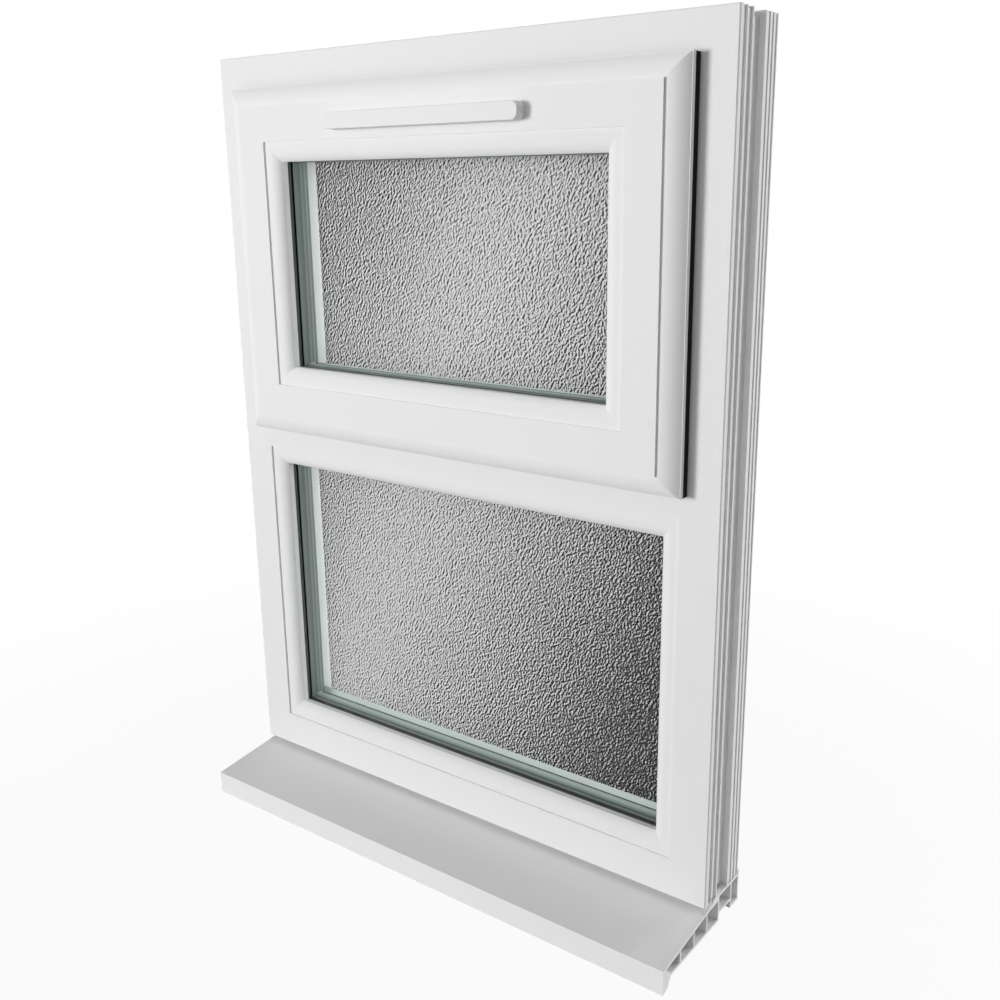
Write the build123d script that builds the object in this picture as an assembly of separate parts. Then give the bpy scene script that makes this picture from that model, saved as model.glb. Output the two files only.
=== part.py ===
from build123d import *
import math
import os

# Top-hung window of welded multi-chamber plastic profile: an opener over a fixed light, on a projecting cill.
# X runs to the right seen from outside, Y into the room, Z up. The outer face of the frame is at y = 0,
# and the origin is on the bedding face under the cill, below the middle of that outer face.

# Outer frame
frame_width = 610.0
frame_height = 795.0
frame_depth = 70.0
frame_face = 40.0
frame_wall = 2.8
inner_wall = 1.6
edge_chamfer = 1.0
lower_light_height = 337.0
transom_face = 31.0

# Glazing upstand on the room side of frame, transom and sash
upstand_reach = 19.5
upstand_front = 48.5
upstand_wall = 2.4
inner_step = 2.0
inner_flat = 7.2
inner_curve_drop = 10.5

# Ribbed outer side of the frame, by depth from the outer face
front_groove_start = 5.9
front_groove_width = 6.1
second_groove_start = 13.2
second_groove_width = 8.8
side_groove_depth = 1.8
channel_start = 23.7
channel_width = 22.3
channel_depth = 5.6
fine_groove_start = 48.6
fine_groove_pitch = 6.75
fine_groove_width = 5.5
fine_groove_depth = 0.8
fine_groove_count = 3

# Sash
sash_projection = 23.7
sash_overlap = 6.8
sash_shoulder = 19.5
sash_box = 35.0
sash_depth = 70.0
shoulder_width = 19.0
shoulder_step = 2.2
lip_front = 10.7
lip_rib_front = 10.9
lip_rib_reach = 0.7
lip_back = 15.3
hardware_groove_start = 47.7
hardware_groove_width = 16.0
hardware_groove_depth = 10.0

# Glazing beads, the same section in both lights
bead_step = 2.0
bead_flat = 7.2
bead_lip_front = 8.3
bead_back = 14.0
bead_wall = 1.8
bead_foot_start = 9.9
bead_foot_width = 3.4
bead_foot_depth = 3.4
bead_clearance = 0.2

# Sealed glazing units
glass_edge_gap = 5.0
gasket_thickness = 4.0
glass_thickness = 4.0
cavity_width = 20.0
spacer_height = 7.5
spacer_wall = 0.9
outer_gasket_reach = 12.0
inner_gasket_reach = 11.0
packer_length = 60.0
packer_place_share = 0.27

# Weather seals
seal_groove_start = 2.2
seal_groove_width = 3.0
seal_groove_depth = 2.6
seal_reach = 0.4
seal_width = 6.0
seal_clearance = 0.3
seal_break = 4.0
frame_seal_start = 13.5
frame_seal_width = 4.5
frame_seal_root = 2.0
frame_seal_root_depth = 2.2
frame_seal_lip_clearance = 0.2

# Cill
cill_seat_height = 30.0
cill_nose_reach = 78.5
cill_nose_top = 12.6
cill_nose_drop = 12.7
cill_nose_width = 14.5
cill_nose_tip = 8.0
cill_nose_toe = 2.0
cill_nose_front = 4.0
cill_slope_end = 13.5
cill_slope_top = 25.7
cill_seat_start = 18.2
cill_wall = 2.4
cill_web = 2.0
cill_web_places = (-47.0, -20.5, 5.5, 29.5, 56.0)
cill_step_height = 8.3
cill_back_gap = 0.5
cill_back_wall = 2.0
cill_back_lip = 4.2

# Friction stays
stay_depth = 6.0
stay_pivot_drop = 3.5
stay_link_length = 90.0
stay_bar = 2.4
stay_gap = 0.2
stay_bar_width = 10.0
stay_tail = 12.0
pin_radius = 2.0
pin_clearance = 0.05
pivot_end_radius = 3.1
boss_radius = 3.0
rivet_head_radius = 3.4
rivet_head_height = 0.8
track_width = 11.0
track_wall = 1.3
track_lip = 2.2
track_arm_gap = 0.5
track_tail = 14.0
shoe_length = 24.0
shoe_clearance = 0.1
stay_screw_pitch = 20.0
stay_screw_lead = 30.0
track_screw_lead = 70.0
track_screw_pitch = 45.0

# Screws
screw_radius = 1.9
screw_head_radius = 3.0
screw_head_height = 1.0
screw_length = 14.0
screw_tip = 2.0
screw_clearance = 0.1

# Lock gear in the bottom rail of the sash
spindle_backset = 22.0
spindle_size = 7.0
gear_module = 1.0
pinion_teeth = 16
pressure_angle = 20.0
gear_backlash = 0.25
gear_face = 6.0
gear_clearance = 0.4
rack_teeth = 8
rack_lead_teeth = 2
rack_tip_share = 0.9
root_depth_share = 1.25
faceplate_length = 300.0
faceplate_thickness = 2.4
drive_bar_length = 250.0
drive_bar_thickness = 2.5
drive_bar_width = 12.0
drive_gap = 0.2
roller_place = 85.0
roller_radius = 4.0
roller_pin_radius = 2.5
roller_reach = 7.0
roller_gap = 0.3
slot_clearance = 0.4
gear_case_length = 40.0
gear_case_width = 13.0
gear_case_wall = 1.2
pocket_clearance = 0.3

# Keeps on the transom
keep_length = 36.0
keep_width = 18.0
keep_base = 2.0
keep_lip_height = 8.2
keep_lip_thickness = 2.0
keep_clearance = 0.4
keep_lip_lead = 6.0
keep_entry_gap = 4.0
keep_screw_inset = 5.0

# Handle
handle_base_length = 104.0
handle_base_height = 22.0
handle_base_depth = 9.0
handle_base_round = 2.0
handle_screw_place = 24.0
hub_radius = 8.0
hub_length = 14.0
hub_gap = 0.2
lever_length = 105.0
lever_width = 17.0
lever_thickness = 10.0
lever_round = 3.0
spindle_depth = 10.0
spindle_clearance = 0.05
button_radius = 3.6
button_length = 9.0
button_stand = 3.0
button_travel = 2.5
button_clearance = 0.06

# Vent
vent_length = 236.0
vent_drop = 1.0
canopy_height = 15.6
canopy_projection = 12.0
canopy_corner = 6.0
canopy_edge = 0.8
canopy_wall = 1.6
canopy_slot = 4.0
vent_slot_length = 88.0
vent_slot_height = 7.0
vent_slot_gap = 16.0
vent_body_height = 18.0
vent_body_depth = 11.0
vent_body_wall = 1.6
vent_body_round = 2.0
flap_thickness = 1.8
flap_clearance = 0.3
flap_pin_radius = 1.3
flap_pin_length = 1.2
flap_knuckle_radius = 2.2
flap_grip = 3.0

# One overrun serves all cuts, lengths are cut this margin too long before mitring,
# and the mitre wedges reach this share of the smaller side
overrun = 2.0
mitre_margin = 20.0
mitre_share = 0.45

# Derived places
half_width = frame_width / 2
frame_bottom = cill_seat_height
frame_top = frame_bottom + frame_height
floor_x = half_width - frame_face
transom_low = frame_bottom + frame_face + lower_light_height
transom_high = transom_low + transom_face
frame_box = (-half_width, half_width, frame_bottom, frame_top)
lower_box = (-floor_x, floor_x, frame_bottom + frame_face, transom_low)
opener_box = (-floor_x, floor_x, transom_high, frame_top - frame_face)
sash_y = -sash_projection
sash_back = sash_y + sash_depth
stay_cavity = sash_shoulder - sash_overlap
groove_y = sash_y + hardware_groove_start + hardware_groove_width / 2
rail_bottom = transom_high + stay_cavity
spindle_z = rail_bottom + spindle_backset
pinion_radius = gear_module * pinion_teeth / 2
roller_travel = pinion_radius * math.pi / 2
shoe_z = opener_box[3] - stay_pivot_drop
link_z = shoe_z - stay_link_length
anchor_z = link_z - stay_link_length
vent_z = frame_top - frame_face + sash_overlap - sash_shoulder - sash_box / 2 - vent_drop
nodes = {}


def inset(box, amount):
    """Box moved in by an amount on all four sides, or out where it is negative."""
    return (box[0] + amount, box[1] - amount, box[2] + amount, box[3] - amount)


def rect(a0, d0, a1, d1):
    """Rectangle between two corners of a section."""
    return make_face(Polyline((a0, d0), (a1, d0), (a1, d1), (a0, d1), close=True))


def side_plane(box, side, face_y):
    """Section plane of one side of a box: local x runs inwards and local y into the room."""
    x0, x1, z0, z1 = inset(box, -mitre_margin)
    if side == "left":
        return Plane((box[0], face_y, z0), x_dir=(1, 0, 0), z_dir=(0, 0, 1)), z1 - z0
    if side == "right":
        return Plane((box[1], face_y, z1), x_dir=(-1, 0, 0), z_dir=(0, 0, -1)), z1 - z0
    if side == "bottom":
        return Plane((x1, face_y, box[2]), x_dir=(0, 0, 1), z_dir=(-1, 0, 0)), x1 - x0
    return Plane((x0, face_y, box[3]), x_dir=(0, 0, -1), z_dir=(1, 0, 0)), x1 - x0


def mitre_wedge(box, side):
    """Prism that keeps one side of a box between its two mitre planes."""
    x0, x1, z0, z1 = inset(box, -mitre_margin)
    reach = mitre_share * min(x1 - x0, z1 - z0)
    corners = {
        "left": ((x0, z0), (x0, z1), (x0 + reach, z1 - reach), (x0 + reach, z0 + reach)),
        "right": ((x1, z0), (x1, z1), (x1 - reach, z1 - reach), (x1 - reach, z0 + reach)),
        "bottom": ((x0, z0), (x1, z0), (x1 - reach, z0 + reach), (x0 + reach, z0 + reach)),
        "top": ((x0, z1), (x1, z1), (x1 - reach, z1 - reach), (x0 + reach, z1 - reach)),
    }[side]
    outline = make_face(Polyline(*corners, close=True))
    return extrude(Plane.XZ * outline, amount=frame_depth + cill_nose_reach, both=True)


def run(section, box, side, face_y):
    """Straight length of a section along one side of a box, longer than the side."""
    plane, length = side_plane(box, side, face_y)
    return extrude(plane * section, amount=length, dir=plane.z_dir)


def mitred(section, box, side, face_y):
    """Length of a section along one side of a box, mitred at both ends."""
    return run(section, box, side, face_y) & mitre_wedge(box, side)


def block(x0, x1, y0, y1, z0, z1):
    """Box between two corners."""
    return Pos((x0 + x1) / 2, (y0 + y1) / 2, (z0 + z1) / 2) * Box(x1 - x0, y1 - y0, z1 - z0)


def band(box, start, width, y0, y1):
    """Rectangular ring that lies from start to start + width inside a box."""
    outer = inset(box, start)
    inner = inset(box, start + width)
    middle = (y0 - overrun, y1 + overrun)
    ring = block(outer[0], outer[1], y0, y1, outer[2], outer[3])
    return ring - block(inner[0], inner[1], middle[0], middle[1], inner[2], inner[3])


def rod(start, direction, length, radius):
    """Round bar from a point along a direction."""
    return Plane(start, z_dir=direction) * Cylinder(
        radius, length, align=(Align.CENTER, Align.CENTER, Align.MIN)
    )


def inner_feature(floor, depth):
    """Upstand section beyond a rebate floor, with the rounded room side of the profile."""
    edge = floor + upstand_reach
    curve_end = depth - inner_step - inner_curve_drop
    lines = Polyline(
        (floor + inner_flat, depth - inner_step), (floor, depth - inner_step), (floor, upstand_front),
        (edge, upstand_front), (edge, curve_end),
    )
    curve = TangentArc(
        (floor + inner_flat, depth - inner_step), (edge, curve_end), tangent=(1, 0)
    )
    return make_face([*lines.edges(), curve])


def upstand_chamber(floor):
    """Hollow inside an upstand."""
    return rect(
        floor + upstand_wall, upstand_front + upstand_wall,
        floor + upstand_reach - upstand_wall, frame_depth - inner_step - inner_curve_drop,
    )


def bead_groove(floor, inward):
    """Groove for the bead's foot in a rebate floor; inward is the way from the floor into the light."""
    deep = floor - inward * (bead_foot_depth + bead_clearance)
    return rect(
        min(deep, floor), bead_foot_start - bead_clearance,
        max(deep, floor), bead_foot_start + bead_foot_width + bead_clearance,
    )


def seal_groove(floor, inward):
    """Groove in an upstand's outer face for the root of the closing seal."""
    start = floor + inward * (frame_seal_start + (frame_seal_width - frame_seal_root) / 2)
    end = start + inward * frame_seal_root
    return rect(
        min(start, end), upstand_front, max(start, end), upstand_front + frame_seal_root_depth
    )


def frame_outline():
    """Frame section without its grooves and hollows."""
    face = make_face(Polyline(
        (edge_chamfer, 0), (frame_face, 0), (frame_face, frame_depth), (edge_chamfer, frame_depth),
        (0, frame_depth - edge_chamfer), (0, edge_chamfer), close=True,
    ))
    return face + inner_feature(frame_face, frame_depth)


def frame_section():
    """Frame section: an L of hollow chambers, ribbed on its outer side."""
    face = frame_outline()
    front_groove_end = front_groove_start + front_groove_width
    second_groove_end = second_groove_start + second_groove_width
    face -= rect(0, front_groove_start, side_groove_depth, front_groove_end)
    face -= rect(0, second_groove_start, side_groove_depth, second_groove_end)
    face -= rect(0, channel_start, channel_depth, channel_start + channel_width)
    for number in range(fine_groove_count):
        start = fine_groove_start + number * fine_groove_pitch
        face -= rect(0, start, fine_groove_depth, start + fine_groove_width)
    face -= bead_groove(frame_face, 1)
    outer = side_groove_depth + frame_wall
    inner = frame_face - bead_foot_depth - frame_wall
    channel_end = channel_start + channel_width
    face -= rect(outer, frame_wall, inner, channel_start - frame_wall)
    face -= rect(channel_depth + frame_wall, channel_start, frame_face - frame_wall, channel_end)
    face -= rect(outer, channel_end + frame_wall, frame_face - frame_wall, frame_depth - frame_wall)
    face -= upstand_chamber(frame_face)
    return face - seal_groove(frame_face, 1)


def transom_section():
    """Transom section: a T with an upstand to both lights; local x runs upwards from the lower light."""
    upper = inner_feature(0, frame_depth)
    lower = mirror(upper, about=Plane.YZ)
    face = rect(0, 0, transom_face, frame_depth) + Pos(transom_face, 0) * upper + lower
    face -= bead_groove(0, -1)
    start = bead_foot_depth + frame_wall
    end = transom_face - frame_wall
    face -= rect(start, frame_wall, end, channel_start - frame_wall)
    face -= rect(frame_wall, channel_start, end, upstand_front - frame_wall)
    face -= rect(frame_wall, upstand_front, end, frame_depth - frame_wall)
    face -= Pos(transom_face, 0) * upstand_chamber(0)
    face -= mirror(upstand_chamber(0), about=Plane.YZ)
    return face - seal_groove(transom_face, 1)


def sash_section():
    """Sash section from the edge of its lip: lip, chambered box with hardware groove, glazing upstand."""
    floor = sash_shoulder + sash_box
    lines = Polyline(
        (shoulder_width, shoulder_step), (shoulder_width, 0), (floor, 0), (floor, sash_depth),
        (sash_shoulder, sash_depth), (sash_shoulder, lip_back), (-lip_rib_reach, lip_back),
        (-lip_rib_reach, lip_rib_front), (0, lip_rib_front), (0, lip_front),
    )
    curve = TangentArc((shoulder_width, shoulder_step), (0, lip_front), tangent=(-1, 0))
    face = make_face([*lines.edges(), curve]) + inner_feature(floor, sash_depth)
    face -= bead_groove(floor, 1)
    groove_end = hardware_groove_start + hardware_groove_width
    face -= rect(
        sash_shoulder, hardware_groove_start, sash_shoulder + hardware_groove_depth, groove_end
    )
    face -= rect(
        seal_groove_start, lip_back - seal_groove_depth, seal_groove_start + seal_groove_width, lip_back
    )
    box_start = sash_shoulder + frame_wall
    box_end = floor - frame_wall
    face -= rect(box_start, frame_wall, box_end - bead_foot_depth, channel_start - frame_wall)
    face -= rect(box_start, channel_start, box_end, hardware_groove_start - frame_wall)
    face -= rect(
        box_start + hardware_groove_depth, hardware_groove_start, box_end, sash_depth - frame_wall
    )
    hollow_start = seal_groove_start + seal_groove_width + inner_wall
    hollow_front = lip_front - (lip_front - shoulder_step) * hollow_start / shoulder_width + frame_wall
    hollow_back = lip_back - frame_wall
    face -= make_face(Polyline(
        (hollow_start, hollow_front), (shoulder_width, shoulder_step + frame_wall),
        (sash_shoulder, shoulder_step + frame_wall), (sash_shoulder, hollow_back),
        (hollow_start, hollow_back), close=True,
    ))
    return face - upstand_chamber(floor)


def bead_section():
    """Hollow glazing bead from a rebate floor, with its foot and sculptured front."""
    edge = upstand_reach
    foot_end = bead_foot_start + bead_foot_width
    lines = Polyline(
        (bead_flat, bead_step), (0, bead_step), (0, bead_foot_start), (-bead_foot_depth, bead_foot_start),
        (-bead_foot_depth, foot_end), (0, foot_end), (0, bead_back), (edge, bead_back),
        (edge, bead_lip_front),
    )
    curve = TangentArc((bead_flat, bead_step), (edge, bead_lip_front), tangent=(1, 0))
    face = make_face([*lines.edges(), curve])
    hollow = make_face(Polyline(
        (bead_wall, bead_step + bead_wall), (bead_flat, bead_step + bead_wall),
        (edge - bead_wall, bead_lip_front + bead_wall), (edge - bead_wall, bead_back - bead_wall),
        (bead_wall, bead_back - bead_wall), close=True,
    ))
    return face - hollow


def make_frame():
    """Mitred frame lengths, coped transom and the closing seal."""
    section = frame_section()
    names = {
        "top": "frame_head", "bottom": "frame_bottom_rail",
        "left": "frame_jamb_left", "right": "frame_jamb_right",
    }
    for side, name in names.items():
        nodes[name] = mitred(section, frame_box, side, 0)
    end = floor_x + overrun
    transom_plane = Plane((end, 0, transom_low), x_dir=(0, 0, 1), z_dir=(-1, 0, 0))
    transom = extrude(transom_plane * transom_section(), amount=2 * end, dir=transom_plane.z_dir)
    for side in ("left", "right"):
        transom -= run(frame_outline(), frame_box, side, 0)
    nodes["transom"] = transom
    seal_front = sash_back + frame_seal_lip_clearance
    lip = band(opener_box, frame_seal_start, frame_seal_width, seal_front, upstand_front)
    root_start = frame_seal_start + (frame_seal_width - frame_seal_root) / 2
    root = band(opener_box, root_start, frame_seal_root, upstand_front, upstand_front + frame_seal_root_depth)
    nodes["frame_seal"] = lip + root
    for side in ("left", "right"):
        nodes["frame_jamb_" + side] -= root


def make_cill():
    """Cill extrusion: sloping top, drip nose, five webs and an upstand behind the frame."""
    back_inner = frame_depth + cill_back_gap
    back = back_inner + cill_back_wall
    nose = -cill_nose_reach
    nose_inner = nose + cill_nose_width
    step_start = cill_web_places[3] + cill_web / 2
    step_end = cill_web_places[4] - cill_web / 2
    outline = make_face(Polyline(
        (nose, cill_nose_top), (cill_slope_end, cill_slope_top), (cill_seat_start, cill_seat_height),
        (back_inner, cill_seat_height), (back_inner, cill_seat_height + cill_back_lip),
        (back, cill_seat_height + cill_back_lip), (back, 0), (step_end, 0), (step_end, cill_step_height),
        (step_start, cill_step_height), (step_start, 0), (nose_inner, 0),
        (nose + cill_nose_tip, cill_nose_toe - cill_nose_drop), (nose, -cill_nose_drop), close=True,
    ))
    slope = (cill_slope_top - cill_nose_top) / (cill_slope_end - nose)

    def roof(y):
        """Underside of the top wall at a depth in front of the seat."""
        return cill_nose_top + slope * (min(y, cill_slope_end) - nose) - cill_wall

    half_web = cill_web / 2
    floor_starts = [nose_inner] + [place + half_web for place in cill_web_places[:3]]
    roof_starts = [nose + cill_nose_front] + floor_starts[1:]
    for y0, top_y0, place in zip(floor_starts, roof_starts, cill_web_places):
        y1 = place - half_web
        corners = ((y0, cill_wall), (y1, cill_wall), (y1, roof(y1)), (top_y0, roof(top_y0)))
        outline -= make_face(Polyline(*corners, close=True))
    seat_roof = cill_seat_height - cill_wall
    outline -= rect(step_start, cill_step_height + cill_wall, step_end, seat_roof)
    outline -= rect(step_end + cill_web, cill_wall, back - cill_back_wall, seat_roof)
    plane = Plane((-half_width, 0, 0), x_dir=(0, 1, 0), z_dir=(1, 0, 0))
    nodes["cill"] = extrude(plane * outline, amount=frame_width, dir=plane.z_dir)


def glaze(light, box, face_y):
    """Sealed unit, gaskets, packers and four mitred beads of one light, in the rebate box of that light."""
    outer_front = face_y + bead_back + gasket_thickness
    outer_back = outer_front + glass_thickness
    inner_front = outer_back + cavity_width
    inner_back = inner_front + glass_thickness
    glass = inset(box, glass_edge_gap)
    spacer_start = upstand_reach - spacer_height
    seal_width_here = spacer_start - glass_edge_gap
    nodes[light + "_outer_pane"] = block(glass[0], glass[1], outer_front, outer_back, glass[2], glass[3])
    nodes[light + "_inner_pane"] = block(glass[0], glass[1], inner_front, inner_back, glass[2], glass[3])
    spacer = band(box, spacer_start, spacer_height, outer_back, inner_front)
    hollow_height = spacer_height - 2 * spacer_wall
    spacer -= band(
        box, spacer_start + spacer_wall, hollow_height, outer_back + spacer_wall, inner_front - spacer_wall
    )
    nodes[light + "_spacer_bar"] = spacer
    nodes[light + "_edge_seal"] = band(box, glass_edge_gap, seal_width_here, outer_back, inner_front)
    gasket_start = upstand_reach - outer_gasket_reach
    nodes[light + "_outer_gasket"] = band(
        box, gasket_start, outer_gasket_reach, face_y + bead_back, outer_front
    )
    nodes[light + "_inner_gasket"] = band(
        box, upstand_reach - inner_gasket_reach, inner_gasket_reach, inner_back, face_y + upstand_front
    )
    packers = []
    middle_z = (box[2] + box[3]) / 2
    for sign in (-1, 1):
        x = sign * packer_place_share * (box[1] - box[0])
        packers.append(block(
            x - packer_length / 2, x + packer_length / 2, outer_front, inner_back, box[2], glass[2]
        ))
        edges = sorted((sign * box[1], sign * glass[1]))
        packers.append(block(
            edges[0], edges[1], outer_front, inner_back,
            middle_z - packer_length / 2, middle_z + packer_length / 2,
        ))
    nodes[light + "_packers"] = Compound(children=packers)
    for side in ("top", "bottom", "left", "right"):
        nodes[f"{light}_bead_{side}"] = mitred(bead_section(), box, side, face_y)


def screw(seat, direction):
    """Pan-headed screw whose head bears on seat and whose shank runs along a direction."""
    axis = Vector(*direction)
    shank = screw_length - screw_tip
    head = rod(Vector(*seat), -axis, screw_head_height, screw_head_radius)
    tip = Plane(Vector(*seat) + axis * shank, z_dir=axis) * Cone(
        screw_radius, screw_clearance, screw_tip, align=(Align.CENTER, Align.CENTER, Align.MIN)
    )
    return head + rod(Vector(*seat), axis, shank, screw_radius) + tip


def screw_hole(seat, direction):
    """Clearance hole round a screw's shank."""
    return rod(Vector(*seat), Vector(*direction), screw_length + overrun, screw_radius + screw_clearance)


def both_sides(shape):
    """A right-hand shape together with its mirror image on the left."""
    return Compound(children=[*shape.solids(), *mirror(shape, about=Plane.YZ).solids()])


def stay_block(k0, k1, y0, y1, z0, z1):
    """Box of the right stay between two distances from the jamb's rebate floor."""
    return block(floor_x - k1, floor_x - k0, y0, y1, z0, z1)


def stay_rod(k0, k1, z, radius):
    """Round bar of the right stay on its pivot line, at a height."""
    return rod((floor_x - k0, stay_depth, z), (-1, 0, 0), k1 - k0, radius)


def stay_link_face(z_high, z_low, radius):
    """Flat link with round ends on the pivot line."""
    face = rect(stay_depth - radius, z_low, stay_depth + radius, z_high)
    return face + Pos(stay_depth, z_high) * Circle(radius) + Pos(stay_depth, z_low) * Circle(radius)


def stay_plate(face, k0, k1):
    """Flat plate of the right stay between two distances from the rebate floor."""
    plane = Plane((floor_x - k0, 0, 0), x_dir=(0, 1, 0), z_dir=(1, 0, 0))
    return extrude(plane * face, amount=k1 - k0, dir=(-1, 0, 0))


def track_screw_seats():
    """Bearing points of the screws that hold the right track to its jamb."""
    places = (shoe_z - track_screw_lead, shoe_z - track_screw_lead - track_screw_pitch)
    return [(floor_x - track_wall, stay_depth, z) for z in places]


def vent_bar_screw_seats():
    """Bearing points of the screws that hold the right vent bar to its stile."""
    places = (shoe_z - stay_screw_lead, shoe_z - stay_screw_lead - stay_screw_pitch)
    return [(floor_x - stay_cavity + stay_bar, stay_depth, z) for z in places]


def make_stays():
    """Friction stays: track with anchor pin, sliding shoe, arm and vent bar, mirrored for the left side."""
    bar_start = stay_cavity - stay_bar
    arm_start = bar_start - stay_gap - stay_bar
    arm_end = arm_start + stay_bar
    track_height = arm_start - track_arm_gap
    lip_start = track_height - track_wall
    y0 = stay_depth - track_width / 2
    y1 = stay_depth + track_width / 2
    z0 = anchor_z - track_tail
    z1 = shoe_z + pivot_end_radius
    hole = pin_radius + pin_clearance

    track = stay_block(0, track_wall, y0, y1, z0, z1)
    track += stay_block(0, track_height, y0, y0 + track_wall, z0, z1)
    track += stay_block(0, track_height, y1 - track_wall, y1, z0, z1)
    track += stay_block(lip_start, track_height, y0, y0 + track_lip, z0, z1)
    track += stay_block(lip_start, track_height, y1 - track_lip, y1, z0, z1)
    track += stay_rod(0, arm_start - stay_gap, anchor_z, boss_radius)
    head_start = arm_end + stay_gap
    track += stay_rod(0, head_start, anchor_z, pin_radius)
    track += stay_rod(head_start, head_start + rivet_head_height, anchor_z, rivet_head_radius)
    for seat in track_screw_seats():
        track -= screw_hole(Vector(*seat) - Vector(overrun, 0, 0), (1, 0, 0))

    shoe_top = lip_start - stay_gap
    side_room = track_wall + shoe_clearance
    shoe = stay_block(
        track_wall + stay_gap, shoe_top, y0 + side_room, y1 - side_room, z1 - shoe_length, z1
    )
    shoe += stay_rod(shoe_top, bar_start - stay_gap, shoe_z, boss_radius)
    shoe += stay_rod(shoe_top, stay_cavity - stay_gap, shoe_z, pin_radius)

    arm_face = stay_link_face(link_z, anchor_z, stay_bar_width / 2)
    for z in (link_z, anchor_z):
        arm_face -= Pos(stay_depth, z) * Circle(hole)
    arm = stay_plate(arm_face, arm_start, arm_end)

    bar_face = stay_link_face(shoe_z, link_z, pivot_end_radius)
    bar_face += stay_link_face(shoe_z - stay_tail, link_z - stay_tail, stay_bar_width / 2)
    bar_face -= Pos(stay_depth, shoe_z) * Circle(hole)
    vent_bar = stay_plate(bar_face, bar_start, stay_cavity)
    vent_bar += stay_rod(arm_start, stay_cavity, link_z, pin_radius)
    for seat in vent_bar_screw_seats():
        vent_bar -= screw_hole(Vector(*seat) + Vector(overrun, 0, 0), (-1, 0, 0))

    for name, shape in (("track", track), ("shoe", shoe), ("arm", arm), ("vent_bar", vent_bar)):
        nodes["right_stay_" + name] = shape
        nodes["left_stay_" + name] = mirror(shape, about=Plane.YZ)
    track_screws = Compound(children=[screw(seat, (1, 0, 0)) for seat in track_screw_seats()])
    bar_screws = Compound(children=[screw(seat, (-1, 0, 0)) for seat in vent_bar_screw_seats()])
    nodes["stay_frame_screws"] = both_sides(track_screws)
    nodes["stay_sash_screws"] = both_sides(bar_screws)
    for seat in track_screw_seats():
        bore = screw_hole(seat, (1, 0, 0))
        nodes["frame_jamb_right"] -= bore
        nodes["frame_jamb_left"] -= mirror(bore, about=Plane.YZ)
    for seat in vent_bar_screw_seats():
        bore = screw_hole(seat, (-1, 0, 0))
        nodes["sash_stile_right"] -= bore
        nodes["sash_stile_left"] -= mirror(bore, about=Plane.YZ)


def make_sash():
    """Mitred sash lengths and the weather seal behind their lip, in a lower part and a top part."""
    outer = inset(opener_box, -sash_overlap)
    section = sash_section()
    names = {
        "top": "sash_top_rail", "bottom": "sash_bottom_rail",
        "left": "sash_stile_left", "right": "sash_stile_right",
    }
    for side, name in names.items():
        nodes[name] = mitred(section, outer, side, sash_y)
    lip_y = sash_y + lip_back
    seal = band(outer, -seal_reach, seal_width, lip_y, -seal_clearance)
    seal += band(outer, seal_groove_start, seal_groove_width, lip_y - seal_groove_depth, lip_y)
    split = shoe_z - seal_break
    lower = block(-half_width, half_width, sash_y, frame_depth, frame_bottom, split)
    upper = block(-half_width, half_width, sash_y, frame_depth, split, frame_top)
    nodes["sash_seal"] = seal & lower
    nodes["sash_seal_top"] = seal & upper


def involute(radius, base):
    """Involute angle of a gear flank at a radius."""
    angle = math.acos(min(1.0, base / radius))
    return math.tan(angle) - angle


def pinion_face():
    """Involute pinion with one tooth pointing down, its square hole left in."""
    base = pinion_radius * math.cos(math.radians(pressure_angle))
    root = pinion_radius - root_depth_share * gear_module
    tip = pinion_radius + gear_module
    tooth = (math.pi * gear_module / 2 - gear_backlash) / (2 * pinion_radius)
    half = tooth + involute(pinion_radius, base)
    flank = [(root, half)] + [
        (radius, half - involute(radius, base)) for radius in (base, pinion_radius, tip)
    ]
    points = []
    for number in range(pinion_teeth):
        middle = 2 * math.pi * number / pinion_teeth - math.pi / 2
        for radius, angle in flank:
            points.append((radius * math.cos(middle - angle), radius * math.sin(middle - angle)))
        for radius, angle in reversed(flank):
            points.append((radius * math.cos(middle + angle), radius * math.sin(middle + angle)))
    return make_face(Polyline(*points, close=True))


def rack_face(bottom):
    """Rack outline under the pinion, with a space below its axis; local x is X and local y is Z."""
    pitch = math.pi * gear_module
    slope = math.tan(math.radians(pressure_angle))
    line = spindle_z - pinion_radius
    root = line - root_depth_share * gear_module
    tip = line + rack_tip_share * gear_module
    half = (pitch / 2 - gear_backlash) / 2
    first = (1 / 2 - rack_lead_teeth) * pitch
    points = [(first - pitch / 2, bottom), (first - pitch / 2, root)]
    for number in range(rack_teeth):
        middle = first + number * pitch
        for height, sign in ((root, -1), (tip, -1), (tip, 1), (root, 1)):
            points.append((middle + sign * (half - (height - line) * slope), height))
    last = first + (rack_teeth - 1 / 2) * pitch
    return make_face(Polyline(*points, (last, root), (last, bottom), close=True))


def along_y(face, y0, y1):
    """Face of the XZ plane extruded between two depths."""
    return extrude(Plane.XZ.offset(-y0) * face, amount=y1 - y0, dir=(0, 1, 0))


def roller_centres():
    """X places of the two rollers with the lock open."""
    return (-roller_place, roller_place)


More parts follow.
